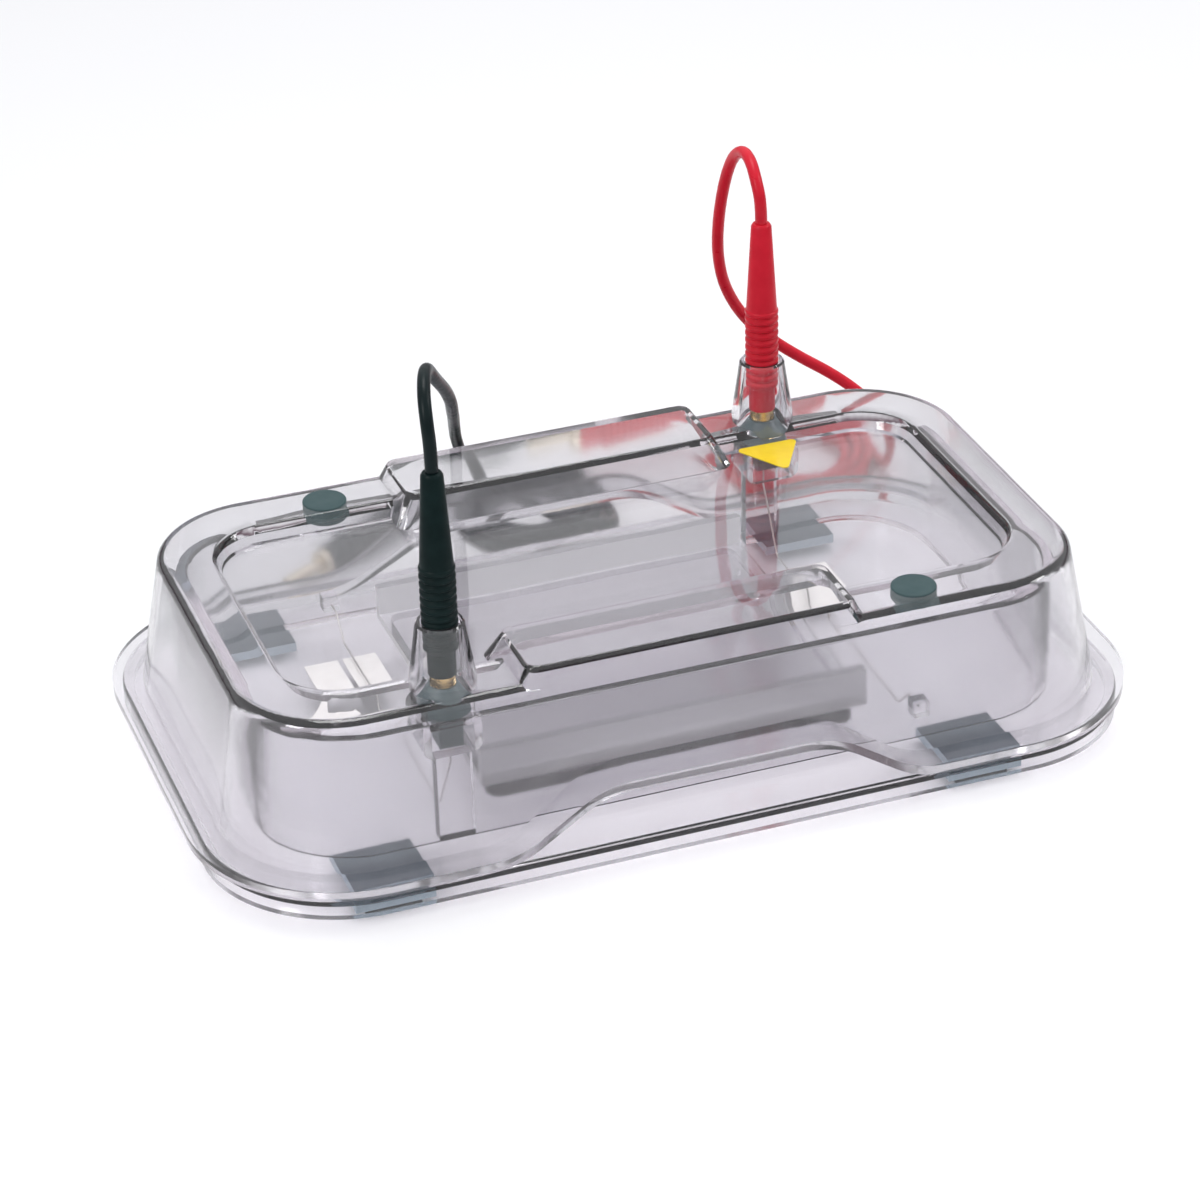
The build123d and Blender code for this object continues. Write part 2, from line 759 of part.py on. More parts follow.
# Power leads
for colour, side, route, coil_x, coil_radius, end_turn in (
    ("black", -1, black_route, black_coil_x, black_coil_radius, black_coil_end_turn),
    ("red", 1, red_route, red_coil_x, red_coil_radius, red_coil_end_turn),
):
    boot(Vector(side * post_x, side * post_y, boot_z), Vector(0, 0, 1), f"lead_boot_{colour}")
    socket_bore = pin_radius + slide_gap
    socket = turned(
        [(socket_bore, -socket_collar_height), (socket_collar_radius, -socket_collar_height),
         (socket_collar_radius, 0), (socket_radius, 0), (socket_radius, socket_depth),
         (socket_bore, socket_depth)],
        Vector(side * post_x, side * post_y, boot_z),
    )
    keep(socket, f"lead_socket_{colour}")
    cable(colour, route)
    coil_end, heading = coil(colour, coil_x, coil_radius, end_turn)

    # The plug for the power supply lies beside the coil, its pin away from the cable.
    supply_foot = coil_end + heading * boot_length
    boot(supply_foot, -heading, f"supply_boot_{colour}")
    supply_pin = turned(
        [(0, -socket_collar_height), (socket_collar_radius, -socket_collar_height), (socket_collar_radius, 0),
         (socket_radius, 0), (socket_radius, socket_depth), (0, socket_depth)],
        supply_foot,
        -heading,
    )
    with BuildPart() as supply_plug:
        add(supply_pin.part)
        with BuildSketch(Plane(origin=supply_foot + heading * socket_collar_height, z_dir=heading)):
            Circle(supply_pin_radius)
        extrude(amount=supply_pin_length)
    keep(supply_plug, f"supply_pin_{colour}")
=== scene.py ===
# %% [markdown]
# # A horizontal electrophoresis tank in clear plastic
#
# The object is a bench-top gel tank: a clear moulded tank with an electrode at two of its corners, a gel
# tray inside, a clear lid over it, and two power leads that come down through the lid onto the electrode
# pins. This file dresses the engineering model. Lengths are in metres, +X runs along the long side, +Y to
# the back and +Z up, and the origin is on the table under the middle of the tank. The leads are the one
# exception: their routes are written in millimetres.

# %% Start
import math

import bpy
from mathutils import Matrix, Vector


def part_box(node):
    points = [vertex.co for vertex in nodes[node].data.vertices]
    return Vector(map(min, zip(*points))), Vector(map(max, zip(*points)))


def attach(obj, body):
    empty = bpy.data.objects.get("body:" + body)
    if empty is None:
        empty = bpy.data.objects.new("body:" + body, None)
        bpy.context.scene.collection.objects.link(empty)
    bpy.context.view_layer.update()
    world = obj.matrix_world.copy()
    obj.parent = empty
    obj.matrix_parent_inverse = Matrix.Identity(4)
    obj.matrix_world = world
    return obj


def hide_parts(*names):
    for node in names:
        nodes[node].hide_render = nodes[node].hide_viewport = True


MM = 0.001
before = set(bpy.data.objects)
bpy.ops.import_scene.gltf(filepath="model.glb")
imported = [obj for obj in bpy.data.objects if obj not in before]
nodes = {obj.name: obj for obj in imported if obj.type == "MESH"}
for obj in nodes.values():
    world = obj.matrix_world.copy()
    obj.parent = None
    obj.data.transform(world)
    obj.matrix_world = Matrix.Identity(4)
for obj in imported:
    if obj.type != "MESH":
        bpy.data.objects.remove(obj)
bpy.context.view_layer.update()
bpy.ops.object.select_all(action="DESELECT")
print("CAD nodes:", len(nodes))

# %% [markdown]
# ## The camera
#
# The photograph is taken from the front left and from above, with a long lens. The view is written the way
# a photographer would say it: the direction, the height angle, a slight tilt of the camera, how far away it
# stands and what it looks at. The two small shifts move the picture within the frame without turning it.

# %% Camera
AIM = Vector((0.0, 0.0, 0.030))
DISTANCE = 1.193
AZIMUTH = math.radians(-19.44)
ELEVATION = math.radians(30.0)
ROLL = math.radians(-1.55)
LENS = 114.74
SENSOR_WIDTH = 36.0
SHIFT_X = -0.0118
SHIFT_Y = 0.0169


def place_camera():
    """A camera that looks at AIM from the photograph's direction."""
    back = Vector((
        math.sin(AZIMUTH) * math.cos(ELEVATION),
        -math.cos(AZIMUTH) * math.cos(ELEVATION),
        math.sin(ELEVATION),
    ))
    right = (-back).cross(Vector((0, 0, 1))).normalized()
    up = right.cross(-back)
    tilted_right = right * math.cos(ROLL) + up * math.sin(ROLL)
    tilted_up = up * math.cos(ROLL) - right * math.sin(ROLL)
    data = bpy.data.cameras.new("camera")
    data.lens = LENS
    data.sensor_width = SENSOR_WIDTH
    data.shift_x = SHIFT_X
    data.shift_y = SHIFT_Y
    data.clip_start = 0.05
    data.clip_end = 20.0
    camera = bpy.data.objects.new("camera", data)
    bpy.context.collection.objects.link(camera)
    turn = Matrix((tilted_right, tilted_up, back)).transposed()
    camera.matrix_world = Matrix.Translation(AIM + back * DISTANCE) @ turn.to_4x4()
    bpy.context.scene.camera = camera
    return camera


bpy.context.scene.view_settings.view_transform = "Standard"
camera = place_camera()
print("camera at", tuple(round(v, 3) for v in camera.location))

# %% [markdown]
# ## Tools for materials
#
# A material is a small graph of nodes. These helpers keep the graphs short to read. The first ones start a
# material, add a node with its settings, calculate with its values and blend two colours. The others use a
# noise to vary a value or a colour a little, or to give a fine bump, which stops a plastic or rubber from
# looking computed.

# %% Material helpers
def start_material(name):
    """A new material, its node tree and its main shader."""
    material = bpy.data.materials.new(name)
    material.use_nodes = True
    tree = material.node_tree
    return material, tree, tree.nodes["Principled BSDF"]


def add_node(tree, kind, **values):
    """A node whose inputs are set by name."""
    node = tree.nodes.new(kind)
    for key, value in values.items():
        node.inputs[key.replace("_", " ")].default_value = value
    return node


def math_node(tree, operation, *values):
    """The result of one calculation. Each value is a number or the output of another node."""
    node = tree.nodes.new("ShaderNodeMath")
    node.operation = operation
    for socket, value in zip(node.inputs, values):
        if isinstance(value, (int, float)):
            socket.default_value = value
        else:
            tree.links.new(value, socket)
    return node.outputs["Value"]


def height_part(tree, vector):
    """The Z part of a vector output."""
    split = tree.nodes.new("ShaderNodeSeparateXYZ")
    tree.links.new(vector, split.inputs["Vector"])
    return split.outputs["Z"]


def two_colours(tree, value, low, low_colour, high, high_colour):
    """A colour that goes from one to the other while the value goes from low to high."""
    ramp = tree.nodes.new("ShaderNodeValToRGB")
    ends = ramp.color_ramp.elements
    for end, position, colour in zip(ends, (low, high), (low_colour, high_colour)):
        end.position = position
        end.color = (*colour, 1.0)
    tree.links.new(value, ramp.inputs["Fac"])
    return ramp.outputs["Color"]


def object_noise(tree, scale, detail):
    """A noise that stays on the piece, with its size given in waves per metre."""
    place = tree.nodes.new("ShaderNodeTexCoord")
    noise = add_node(tree, "ShaderNodeTexNoise", Scale=scale, Detail=detail)
    tree.links.new(place.outputs["Object"], noise.inputs["Vector"])
    return noise


def fine_bump(tree, shader, scale, depth, detail=3.0):
    """Raises the surface by a noise: depth is in metres."""
    noise = object_noise(tree, scale, detail)
    bump = add_node(tree, "ShaderNodeBump", Strength=1.0, Distance=depth)
    tree.links.new(noise.outputs["Fac"], bump.inputs["Height"])
    tree.links.new(bump.outputs["Normal"], shader.inputs["Normal"])


def vary(tree, socket, low, high, scale):
    """Drives a socket between two values by a noise."""
    noise = object_noise(tree, scale, 4.0)
    spread = add_node(tree, "ShaderNodeMapRange", From_Min=0.3, From_Max=0.7, To_Min=low, To_Max=high)
    tree.links.new(noise.outputs["Fac"], spread.inputs["Value"])
    tree.links.new(spread.outputs["Result"], socket)


def vary_colour(tree, socket, dark, light, scale):
    """Drives a colour socket between two near colours by a noise."""
    noise = object_noise(tree, scale, 5.0)
    tree.links.new(two_colours(tree, noise.outputs["Fac"], 0.35, dark, 0.65, light), socket)


# %% [markdown]
# ## Clear plastic
#
# The tank, the lid and the tray are clear plastic with a faint grey-lilac cast. Seen through its face the
# sheet is nearly colourless, but light that runs along inside it comes out dark at the rims, so most of the
# cast is absorption inside the plastic, where it grows with the distance. Faces that lie flat are polished.
# Upright walls are less smooth, so that they blur what stands behind them, and those of the tray are milky
# too. The chimneys stay polished. Lamps shine through the plastic: for shadow rays the sheet is simply
# see-through, a little darker than nothing.

# %% Clear plastic
CHIMNEY_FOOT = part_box("port_plug_left")[1][2]
FLAT_ROUGHNESS = 0.015
FLAT_CLEARNESS = 0.992


def upright_mask(tree):
    """One on upright faces below the chimneys, nothing on the chimneys and on faces that lie flat."""
    place = tree.nodes.new("ShaderNodeTexCoord")
    skin = tree.nodes.new("ShaderNodeNewGeometry")
    below = math_node(tree, "LESS_THAN", height_part(tree, place.outputs["Object"]), CHIMNEY_FOOT)
    lean = math_node(tree, "ABSOLUTE", height_part(tree, skin.outputs["True Normal"]))
    upright = add_node(tree, "ShaderNodeMapRange", From_Min=0.7, From_Max=0.35)
    tree.links.new(lean, upright.inputs["Value"])
    return math_node(tree, "MULTIPLY", below, upright.outputs["Result"])


def clear_plastic(name, ripple, wall_roughness, wall_clearness=FLAT_CLEARNESS, absorption=16.0):
    """Clear plastic. ripple is the depth in metres of its slow surface waves."""
    material, tree, shader = start_material(name)
    shader.inputs["Base Color"].default_value = (0.868, 0.866, 0.880, 1.0)
    shader.inputs["IOR"].default_value = 1.49
    fine_bump(tree, shader, scale=26.0, depth=ripple, detail=1.0)
    upright = upright_mask(tree)
    for socket, flat, wall in (
        ("Roughness", FLAT_ROUGHNESS, wall_roughness),
        ("Transmission Weight", FLAT_CLEARNESS, wall_clearness),
    ):
        change = add_node(tree, "ShaderNodeMapRange", To_Min=flat, To_Max=wall)
        tree.links.new(upright, change.inputs["Value"])
        tree.links.new(change.outputs["Result"], shader.inputs[socket])
    passing = add_node(tree, "ShaderNodeBsdfTransparent", Color=(0.84, 0.835, 0.845, 1.0))
    rays = tree.nodes.new("ShaderNodeLightPath")
    mix = tree.nodes.new("ShaderNodeMixShader")
    tree.links.new(rays.outputs["Is Shadow Ray"], mix.inputs[0])
    tree.links.new(shader.outputs["BSDF"], mix.inputs[1])
    tree.links.new(passing.outputs["BSDF"], mix.inputs[2])
    output = tree.nodes["Material Output"]
    tree.links.new(mix.outputs["Shader"], output.inputs["Surface"])
    inside = add_node(tree, "ShaderNodeVolumeAbsorption", Color=(0.69, 0.60, 0.66, 1.0), Density=absorption)
    tree.links.new(inside.outputs["Volume"], output.inputs["Volume"])
    return material


tank_plastic = clear_plastic("clear_tank_plastic", ripple=0.00012, wall_roughness=0.10)
lid_plastic = clear_plastic("clear_lid_plastic", ripple=0.00018, wall_roughness=0.10)
tray_plastic = clear_plastic(
    "clear_tray_plastic", ripple=0.00005, wall_roughness=0.4, wall_clearness=0.5, absorption=5.0
)

# %% [markdown]
# ## Grey plastic, rubber, metal and film
#
# The posts are a grey-green satin plastic, the foot blocks a paler grey-blue one, and the foot pads a dull
# black rubber. The sockets and electrode pins are gold plated, the pins for the power supply a paler gold,
# and the electrode wire is bright platinum. The labels on the floor of the tank are blank white film, and
# the tag on the lid is plain yellow film.

# %% Solid finishes
def satin_plastic(name, dark, light, roughness=0.42):
    """Moulded plastic with a fine spark-eroded grain."""
    material, tree, shader = start_material(name)
    vary_colour(tree, shader.inputs["Base Color"], dark, light, scale=90.0)
    vary(tree, shader.inputs["Roughness"], roughness - 0.06, roughness + 0.06, scale=300.0)
    fine_bump(tree, shader, scale=2600.0, depth=0.00002)
    return material


def rubber(name, dark, light, roughness, shine=0.4):
    """Moulded rubber or cable sheath: dull, with a soft shine over it."""
    material, tree, shader = start_material(name)
    vary_colour(tree, shader.inputs["Base Color"], dark, light, scale=160.0)
    vary(tree, shader.inputs["Roughness"], roughness - 0.07, roughness + 0.07, scale=420.0)
    shader.inputs["Specular IOR Level"].default_value = shine
    fine_bump(tree, shader, scale=1800.0, depth=0.00001)
    return material


def plated(name, colour, roughness):
    """Plated or drawn metal with faint turning marks."""
    material, tree, shader = start_material(name)
    shader.inputs["Metallic"].default_value = 1.0
    shader.inputs["Base Color"].default_value = (*colour, 1.0)
    vary(tree, shader.inputs["Roughness"], roughness - 0.05, roughness + 0.08, scale=700.0)
    fine_bump(tree, shader, scale=1500.0, depth=0.00001)
    return material


def film(name, dark, light):
    """Blank film: nearly flat colour with a slight orange-peel shine."""
    material, tree, shader = start_material(name)
    vary_colour(tree, shader.inputs["Base Color"], dark, light, scale=240.0)
    vary(tree, shader.inputs["Roughness"], 0.28, 0.4, scale=500.0)
    fine_bump(tree, shader, scale=900.0, depth=0.00001)
    return material


grey_plastic = satin_plastic("grey_plastic", (0.075, 0.112, 0.118), (0.088, 0.128, 0.134))
foot_plastic = satin_plastic("foot_plastic", (0.32, 0.41, 0.47), (0.36, 0.46, 0.52), 0.36)
grey_rubber = rubber("grey_rubber", (0.060, 0.098, 0.102), (0.072, 0.112, 0.116), 0.5, 0.08)
black_rubber = rubber("black_foot_rubber", (0.010, 0.013, 0.013), (0.016, 0.019, 0.019), 0.6)
gold_plate = plated("gold_plate", (0.84, 0.60, 0.28), 0.24)
pale_gold_plate = plated("pale_gold_plate", (0.74, 0.66, 0.52), 0.34)
platinum_wire = plated("platinum_wire", (0.62, 0.60, 0.58), 0.3)
white_film = film("white_film", (0.78, 0.76, 0.73), (0.84, 0.82, 0.79))
yellow_film = film("yellow_film", (0.90, 0.62, 0.01), (0.95, 0.68, 0.015))
boot_rubber = {
    "black": rubber("black_boot_rubber", (0.003, 0.011, 0.011), (0.006, 0.017, 0.017), 0.38, 0.1),
    "red": rubber("red_boot_rubber", (0.64, 0.010, 0.028), (0.70, 0.014, 0.034), 0.36, 0.2),
}
sheath = {
    "black": rubber("black_cable_sheath", (0.003, 0.009, 0.010), (0.005, 0.013, 0.014), 0.34, 0.14),
    "red": rubber("red_cable_sheath", (0.64, 0.010, 0.028), (0.70, 0.014, 0.034), 0.34, 0.2),
}

# %% [markdown]
# ## Which node wears what
#
# Each piece of the engineering model that already has the right shape keeps it, and only gets its material.

# %% Dress the engineering model
def dress(node, material):
    """Gives every material slot of a node the same material."""
    for slot in nodes[node].material_slots:
        slot.material = material


dress("gel_tray", tray_plastic)
dress("lid_tag", yellow_film)
for label in ("label_left_outer", "label_left_inner", "label_right"):
    dress(label, white_film)
for end in ("left", "right"):
    for row in ("front", "back"):
        dress(f"foot_block_{row}_{end}", foot_plastic)
        dress(f"foot_pad_{row}_{end}", black_rubber)
for colour in ("black", "red"):
    dress(f"electrode_post_{colour}", grey_plastic)
    dress(f"electrode_pin_{colour}", gold_plate)
    dress(f"electrode_wire_{colour}", platinum_wire)
    dress(f"lead_socket_{colour}", gold_plate)
    dress(f"supply_pin_{colour}", pale_gold_plate)

# %% [markdown]
# ## The clear shells
#
# The tank and the lid come as loose triangles. Light bends at every one of them, so the facets of a rounded
# corner would show as stripes. A copy with its points merged can be shaded smooth across the rounds while
# its real edges stay crisp, and it stands for the node.

# %% Clear shells
MERGE_DISTANCE = 0.005 * MM
SHELL_EDGE_ANGLE = math.radians(28.0)


def smooth_copy(node, body, material):
    """A merged copy of a node, smooth on its rounds, that replaces it."""
    source = nodes[node]
    piece = source.copy()
    piece.data = source.data.copy()
    piece.name = f"{node}_shell"
    piece.parent = None
    piece.matrix_world = Matrix.Identity(4)
    for key in list(piece.keys()):
        del piece[key]
    bpy.context.collection.objects.link(piece)
    piece.data.materials.clear()
    piece.data.materials.append(material)
    bpy.ops.object.select_all(action="DESELECT")
    bpy.context.view_layer.objects.active = piece
    piece.select_set(True)
    bpy.ops.object.mode_set(mode="EDIT")
    bpy.ops.mesh.select_all(action="SELECT")
    bpy.ops.mesh.remove_doubles(threshold=MERGE_DISTANCE)
    bpy.ops.mesh.customdata_custom_splitnormals_clear()
    bpy.ops.object.mode_set(mode="OBJECT")
    bpy.ops.object.shade_smooth_by_angle(angle=SHELL_EDGE_ANGLE)
    piece.select_set(False)
    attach(piece, body)
    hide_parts(node)
    print(piece.name, "points", len(piece.data.vertices), "faces", len(piece.data.polygons))


smooth_copy("tank", "tank", tank_plastic)
smooth_copy("lid", "lid", lid_plastic)

# %% [markdown]
# ## The ribbed boots
#
# Each lead has a soft boot at both ends: a plain sleeve, a row of ribs that let it bend, and a slim taper to
# the cable. A turned shape like this can be spun from its outline. Here it grows ring by ring instead: a
# circle is extruded upwards, and each new ring is scaled to the radius that the boot has there.

# %% Boots
SLEEVE_RADIUS = 4.35 * MM
SLEEVE_LENGTH = 8.0 * MM
RIB_RADIUS = 5.4 * MM
GROOVE_RADIUS = 4.7 * MM
RIB_COUNT = 11
RIB_PITCH = 2.5 * MM
TAPER_RADIUS = 5.0 * MM
TAPER_LENGTH = 29.8 * MM
END_RADIUS = 3.3 * MM
END_CHAMFER_LENGTH = 1.0 * MM
END_CHAMFER_DEPTH = 0.6 * MM
END_HOLE_RADIUS = 1.9 * MM
BORE_RADIUS = 3.3 * MM
BORE_DEPTH = 10.6 * MM
ROUND_POINTS = 48
SAME_HEIGHT = 1e-7
RIB_EDGE = 0.22 * MM
ROUNDED_FROM = math.radians(30.0)
SMOOTH_UP_TO = math.radians(50.0)


def boot_rings():
    """The radius and height of each ring, from the end of the bore round the mouth to the cable."""
    rings = [
        (BORE_RADIUS, BORE_DEPTH),
        (BORE_RADIUS, 0.0),
        (SLEEVE_RADIUS, 0.0),
        (SLEEVE_RADIUS, SLEEVE_LENGTH),
    ]
    for index in range(RIB_COUNT):
        low = SLEEVE_LENGTH + index * RIB_PITCH
        rings += [
            (GROOVE_RADIUS, low + 0.05 * RIB_PITCH),
            (GROOVE_RADIUS, low + 0.25 * RIB_PITCH),
            (RIB_RADIUS, low + 0.40 * RIB_PITCH),
            (RIB_RADIUS, low + 0.85 * RIB_PITCH),
        ]
    top = SLEEVE_LENGTH + RIB_COUNT * RIB_PITCH
    end = top + TAPER_LENGTH
    rings += [
        (TAPER_RADIUS, top),
        (END_RADIUS, end - END_CHAMFER_LENGTH),
        (END_RADIUS - END_CHAMFER_DEPTH, end),
        (END_HOLE_RADIUS, end),
    ]
    return rings


def grow_rings(name, rings):
    """A closed piece on the Z axis, made of a circle extruded from ring to ring."""
    radius, height = rings[0]
    bpy.ops.mesh.primitive_circle_add(
        vertices=ROUND_POINTS, radius=radius, location=(0, 0, height), fill_type="NGON"
    )
    piece = bpy.context.object
    piece.name = name
    bpy.ops.object.transform_apply(location=True, rotation=True, scale=True)
    bpy.ops.object.mode_set(mode="EDIT")
    bpy.ops.mesh.select_mode(type="EDGE")
    bpy.ops.mesh.select_all(action="SELECT")
    bpy.ops.mesh.delete(type="ONLY_FACE")
    bpy.ops.mesh.select_all(action="SELECT")
    for new_radius, new_height in rings[1:]:
        bpy.ops.mesh.extrude_edges_move(TRANSFORM_OT_translate={"value": (0, 0, new_height - height)})
        scale = new_radius / radius
        bpy.ops.transform.resize(value=(scale, scale, 1.0), center_override=(0, 0, new_height))
        radius, height = new_radius, new_height
    bpy.ops.mesh.edge_face_add()
    bpy.ops.mesh.select_mode(type="VERT")
    bpy.ops.mesh.select_all(action="DESELECT")
    bpy.ops.object.mode_set(mode="OBJECT")
    first_radius, first_height = rings[0]
    for vertex in piece.data.vertices:
        level = abs(vertex.co.z - first_height) < SAME_HEIGHT
        vertex.select = level and vertex.co.xy.length < first_radius * 1.01
    bpy.ops.object.mode_set(mode="EDIT")
    bpy.ops.mesh.edge_face_add()
    bpy.ops.mesh.select_all(action="SELECT")
    bpy.ops.mesh.normals_make_consistent(inside=False)
    bpy.ops.object.mode_set(mode="OBJECT")
    return piece


def finish_rounds(piece, width, segments):
    """Rounds the real edges a little and shades the rest smooth."""
    bpy.ops.object.select_all(action="DESELECT")
    bpy.context.view_layer.objects.active = piece
    piece.select_set(True)
    rounding = piece.modifiers.new("rounded_edges", "BEVEL")
    rounding.width = width
    rounding.segments = segments
    rounding.limit_method = "ANGLE"
    rounding.angle_limit = ROUNDED_FROM
    rounding.use_clamp_overlap = True
    bpy.ops.object.modifier_apply(modifier=rounding.name)
    bpy.ops.object.shade_smooth_by_angle(angle=SMOOTH_UP_TO)
    piece.select_set(False)


def put(piece, foot, up):
    """Moves a piece that was made on the Z axis to foot, with its axis along up."""
    turn = Vector((0, 0, 1)).rotation_difference(Vector(up)).to_matrix().to_4x4()
    piece.data.transform(Matrix.Translation(Vector(foot)) @ turn)
    piece.data.update()


boot_pattern = grow_rings("boot_pattern", boot_rings())
finish_rounds(boot_pattern, RIB_EDGE, 2)
print("boot faces:", len(boot_pattern.data.polygons))


def place_copy(pattern, name, node, body, material, foot, up):
    """A copy of a pattern with its own mesh, put where its node is."""
    piece = pattern.copy()
    piece.data = pattern.data.copy()
    piece.name = name
    bpy.context.collection.objects.link(piece)
    put(piece, foot, up)
    piece.data.materials.append(material)
    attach(piece, body)
    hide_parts(node)
    return piece


# %% [markdown]
# ## The port plugs
#
# The lid has two more ports, closed by rubber plugs. Rubber in a clear hole is pressed against its wall, so
# that the dark side shows through the plastic. With a gap around it, the hole's wall would act as a mirror
# instead. So the plug is a cylinder a hair wider than its hole, with straight sides and rounded edges.

# %% Port plugs
PLUG_RADIUS = 7.0 * MM
PLUG_EDGE = 0.45 * MM
PLUG_POINTS = 64
plug_low, plug_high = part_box("port_plug_left")
PLUG_HEIGHT = plug_high[2] - plug_low[2]
bpy.ops.object.select_all(action="DESELECT")
bpy.ops.mesh.primitive_cylinder_add(
    vertices=PLUG_POINTS, radius=PLUG_RADIUS, depth=PLUG_HEIGHT, location=(0, 0, PLUG_HEIGHT / 2)
)
plug_pattern = bpy.context.object
plug_pattern.name = "plug_pattern"
bpy.ops.object.transform_apply(location=True, rotation=True, scale=True)
finish_rounds(plug_pattern, PLUG_EDGE, 3)
for end in ("left", "right"):
    node = f"port_plug_{end}"
    low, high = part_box(f"port_plug_{end}")
    foot = ((low[0] + high[0]) / 2, (low[1] + high[1]) / 2, low[2])
    place_copy(plug_pattern, f"{end}_plug", node, "lid", grey_rubber, foot, (0, 0, 1))
bpy.data.objects.remove(plug_pattern)
print("plug height in mm:", round(PLUG_HEIGHT / MM, 2))

# %% [markdown]
# ## The leads
#
# The cable is thin and limp. It leaves its boot straight up, falls over in a narrow loop and comes down
# behind the tank, where the length that nobody needs lies in a small coil with its plug beside it. The
# curve's points, in millimetres, follow the same route as the engineering model. Only the black one is
# moved a few millimetres to the left behind the lid, to come down nearer to where the photograph shows it.
# The turns of the coil come from a loop: in on the table, then up and out again on the first layer.

# %% Leads
boot_low, boot_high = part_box("lead_boot_red")
POST_X = (boot_low[0] + boot_high[0]) / 2 / MM
POST_Y = (boot_low[1] + boot_high[1]) / 2 / MM
BOOT_FOOT = boot_low[2]
BOOT_TOP = boot_high[2] / MM
CABLE_DIAMETER = 3.9
REST_Z = 2.0
COIL_PITCH = 4.5
COIL_RISE = 4.5
COIL_DRAW_IN = 1.0
COIL_LEAVE = 5.6
COIL_DIP = 0.0175
COIL_BACK_Y = 121.0
COIL_IN = 10
COIL_OUT = 9
STEPS_PER_QUARTER = 4

black_route = [
    (-POST_X, -POST_Y, BOOT_TOP),
    (-POST_X, -POST_Y, 134.2),
    (-74.9, -59.6, 142.1),
    (-74.0, -55.0, 148.1),
    (-71.7, -48.3, 150.8),
    (-68.6, -40.8, 149.5),
    (-64.5, -32.0, 142.4),
    (-59.0, -19.5, 133.3),
    (-52.0, -3.5, 121.8),
    (-45.4, 13.5, 108.8),
    (-39.4, 32.5, 95.4),
    (-32.6, 54.0, 82.0),
    (-26.4, 74.4, 68.6),
    (-21.6, 88.9, 55.2),
    (-16.6, 97.0, 42.4),
    (-7.2, 99.4, 29.8),
    (8.6, 97.2, 17.4),
    (23.8, 97.2, 8.8),
    (35.3, 101.0, 4.2),
    (39.0, 108.8, REST_Z),
]
red_route = [
    (POST_X, POST_Y, BOOT_TOP),
    (POST_X, POST_Y, 134.0),
    (74.2, 63.9, 140.5),
    (75.0, 70.4, 144.6),
    (75.6, 78.4, 144.8),
    (75.2, 85.7, 140.2),
    (74.3, 90.5, 131.2),
    (73.5, 94.6, 117.5),
    (74.0, 98.4, 101.5),
    (77.6, 101.2, 86.2),
    (86.6, 103.2, 71.0),
    (102.0, 104.6, 56.8),
    (121.5, 104.0, 43.0),
    (135.3, 100.8, 29.0),
    (140.2, 98.6, 15.6),
    (140.5, 101.7, 6.8),
    (140.5, 108.8, REST_Z),
]


def coil_points(centre_x, outer_radius, end_turn):
    """The turns of a coil and its straight end, as points of the cable's curve, and the end's heading."""
    last = COIL_IN + 2 + COIL_OUT
    outset = 1.0 / math.cos(math.pi / (4 * STEPS_PER_QUARTER)) ** 0.5
    points = []
    for step in range(last * STEPS_PER_QUARTER + 1):
        quarter = step / STEPS_PER_QUARTER
        inward = min(quarter, COIL_IN, last + 1 - quarter)
        drawn = COIL_DRAW_IN * max(0.0, inward - COIL_IN + 1)
        climb = min(max((quarter - COIL_IN) / 2, 0.0), 1.0)
        leaving = max(0.0, quarter - last + 1)
        radius = outer_radius - COIL_PITCH * inward / 4 - drawn
        radius = radius * outset + COIL_LEAVE * leaving ** 2 * (3 - 2 * leaving)
        angle = math.pi / 2 * quarter + end_turn * leaving
        points.append((
            centre_x + radius * math.cos(angle),
            COIL_BACK_Y + radius * math.sin(angle),
            REST_Z + COIL_RISE * climb,
        ))
    heading = Vector((-math.sin(angle), math.cos(angle), -COIL_DIP)).normalized()
    points.append(tuple(Vector(points[-1]) + heading * CABLE_DIAMETER))
    return points, heading


def lay_cable(name, points, material):
    """A smooth curve through the route, thick as the cable."""
    data = bpy.data.curves.new(name, "CURVE")
    data.dimensions = "3D"
    spline = data.splines.new("NURBS")
    spline.points.add(len(points) - 1)
    for target, (x, y, z) in zip(spline.points, points):
        target.co = (x * MM, y * MM, z * MM, 1.0)
    spline.order_u = 3
    spline.use_endpoint_u = True
    spline.resolution_u = 10
    data.bevel_depth = CABLE_DIAMETER / 2 * MM
    data.bevel_resolution = 6
    data.use_fill_caps = True
    data.materials.append(material)
    piece = bpy.data.objects.new(name, data)
    bpy.context.collection.objects.link(piece)
    return piece


def make_lead(colour, side, route, coil_x, coil_radius, end_turn):
    """One lead: cable and coil, a boot at each end, and the plug for the power supply."""
    body = f"lead_{colour}"
    turns, heading = coil_points(coil_x, coil_radius, end_turn)
    cable = lay_cable(f"{colour}_cable", route + turns, sheath[colour])
    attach(cable, body)
    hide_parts(f"cable_{colour}", f"coil_{colour}")
    rubber_skin = boot_rubber[colour]
    near_foot = (side * POST_X * MM, side * POST_Y * MM, BOOT_FOOT)
    near_name, near_node = f"{colour}_near_boot", f"lead_boot_{colour}"
    place_copy(boot_pattern, near_name, near_node, body, rubber_skin, near_foot, (0, 0, 1))
    boot_length = SLEEVE_LENGTH + RIB_COUNT * RIB_PITCH + TAPER_LENGTH
    far_foot = Vector(turns[-1]) * MM + heading * boot_length
    far_name, far_node = f"{colour}_far_boot", f"supply_boot_{colour}"
    far_boot = place_copy(boot_pattern, far_name, far_node, body, rubber_skin, far_foot, -heading)


make_lead("black", -1, black_route, coil_x=13.0, coil_radius=26.0, end_turn=math.radians(30.0))
make_lead("red", 1, red_route, coil_x=112.5, coil_radius=28.0, end_turn=0.0)
bpy.data.objects.remove(boot_pattern)

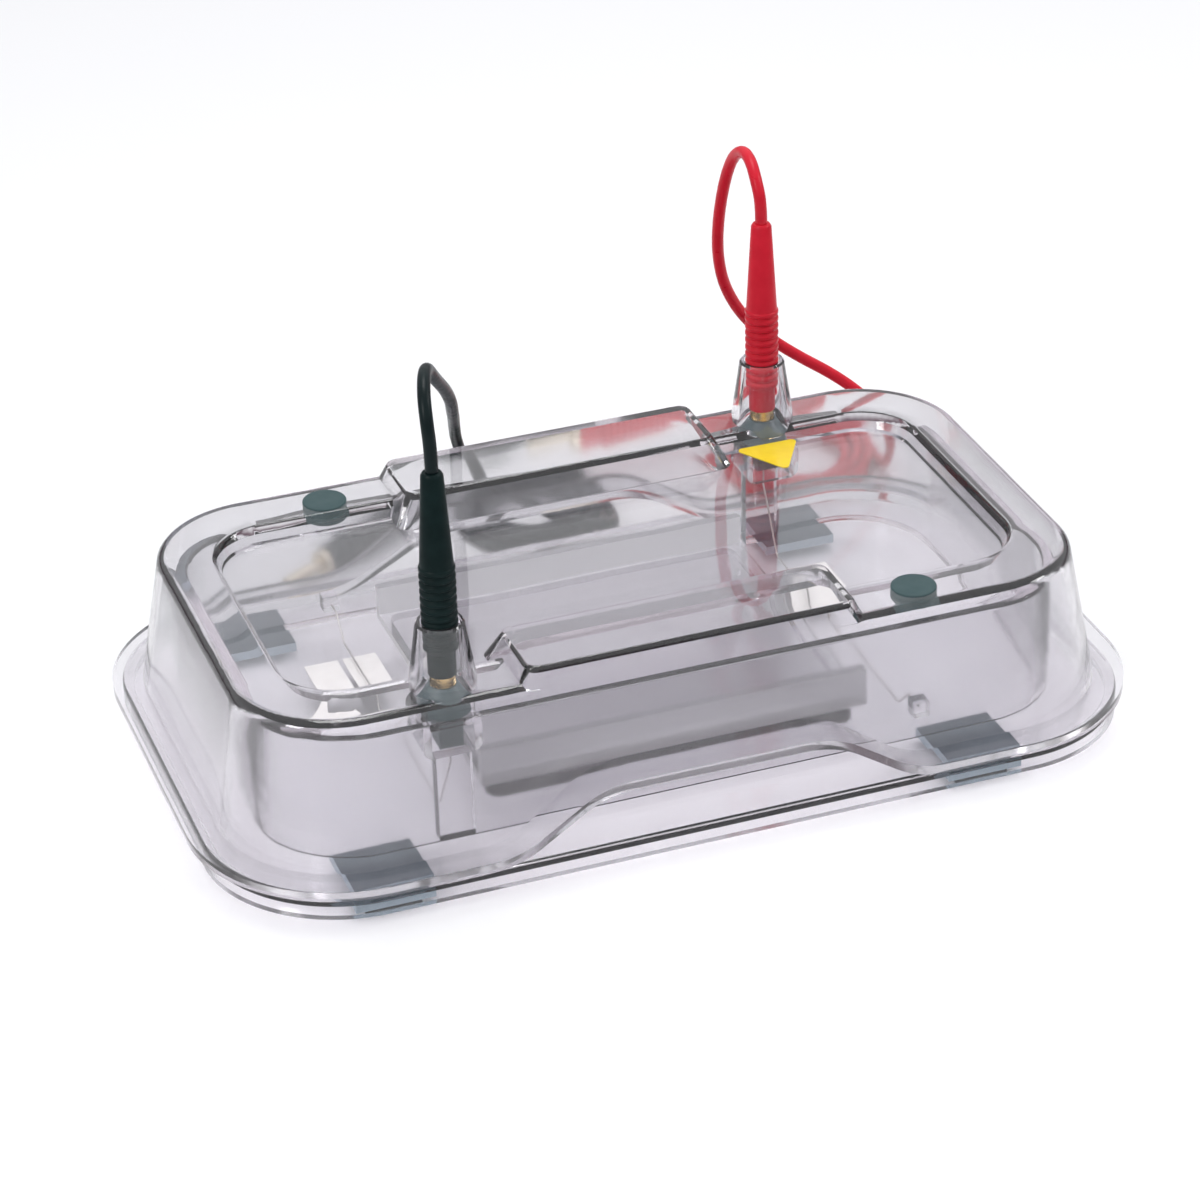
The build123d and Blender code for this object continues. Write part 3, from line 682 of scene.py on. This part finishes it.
# %% [markdown]
# ## Table and light
#
# The photograph has a plain white ground and soft light from above. A wide pale table carries the object and
# keeps its shadow. Three soft lamps light it, from above, left and right. The sky is made of two: a dimmer
# one gives light, and a brighter one is what shows by itself, in a mirror image and through the plastic.
# Both are darker near the horizon, so that the rounded rims have something dark to bend.

# %% Table and light
TABLE_SIZE = 8.0
TABLE_GAP = 0.2 * MM


def make_table():
    """The plain pale table, a hair below the feet."""
    bpy.ops.mesh.primitive_plane_add(size=TABLE_SIZE, location=(0, 0, -TABLE_GAP))
    table = bpy.context.object
    table.name = "table"
    material, tree, shader = start_material("pale_table")
    shader.inputs["Base Color"].default_value = (0.93, 0.93, 0.935, 1.0)
    shader.inputs["Roughness"].default_value = 0.7
    shader.inputs["Specular IOR Level"].default_value = 0.2
    table.data.materials.append(material)


def make_lamp(name, place, size, power):
    """A square soft lamp that shines at the object."""
    data = bpy.data.lights.new(name, "AREA")
    data.shape = "SQUARE"
    data.size = size
    data.energy = power
    lamp = bpy.data.objects.new(name, data)
    bpy.context.collection.objects.link(lamp)
    lamp.location = place
    lamp.rotation_euler = (AIM - Vector(place)).to_track_quat("-Z", "Y").to_euler()


def sky_shade(tree, low, low_colour, high, high_colour, strength):
    """A background that goes from one colour near the horizon to another above."""
    place = tree.nodes.new("ShaderNodeTexCoord")
    height = height_part(tree, place.outputs["Generated"])
    colour = two_colours(tree, height, low, low_colour, high, high_colour)
    background = add_node(tree, "ShaderNodeBackground", Strength=strength)
    tree.links.new(colour, background.inputs["Color"])
    return background.outputs["Background"]


def make_sky():
    """Soft light from all sides, and the studio's white walls for what is seen in or through the plastic."""
    world = bpy.data.worlds.new("sky")
    bpy.context.scene.world = world
    world.use_nodes = True
    tree = world.node_tree
    light = sky_shade(
        tree,
        low=0.12,
        low_colour=(0.14, 0.12, 0.14),
        high=0.45,
        high_colour=(0.95, 0.96, 1.0),
        strength=0.62,
    )
    seen = sky_shade(
        tree,
        low=0.04,
        low_colour=(0.16, 0.09, 0.12),
        high=0.26,
        high_colour=(0.97, 0.98, 1.0),
        strength=1.0,
    )
    rays = tree.nodes.new("ShaderNodeLightPath")
    direct = math_node(tree, "MAXIMUM", rays.outputs["Is Camera Ray"], rays.outputs["Is Glossy Ray"])
    shown = math_node(tree, "MAXIMUM", direct, rays.outputs["Is Transmission Ray"])
    mix = tree.nodes.new("ShaderNodeMixShader")
    tree.links.new(shown, mix.inputs[0])
    tree.links.new(light, mix.inputs[1])
    tree.links.new(seen, mix.inputs[2])
    tree.links.new(mix.outputs["Shader"], tree.nodes["World Output"].inputs["Surface"])


make_table()
make_lamp("overhead_lamp", (0.1, 0.35, 1.5), size=0.65, power=10.0)
make_lamp("left_lamp", (-1.1, -0.5, 0.9), size=0.35, power=5.0)
make_lamp("right_lamp", (1.0, -0.3, 0.8), size=0.25, power=2.5)
make_sky()
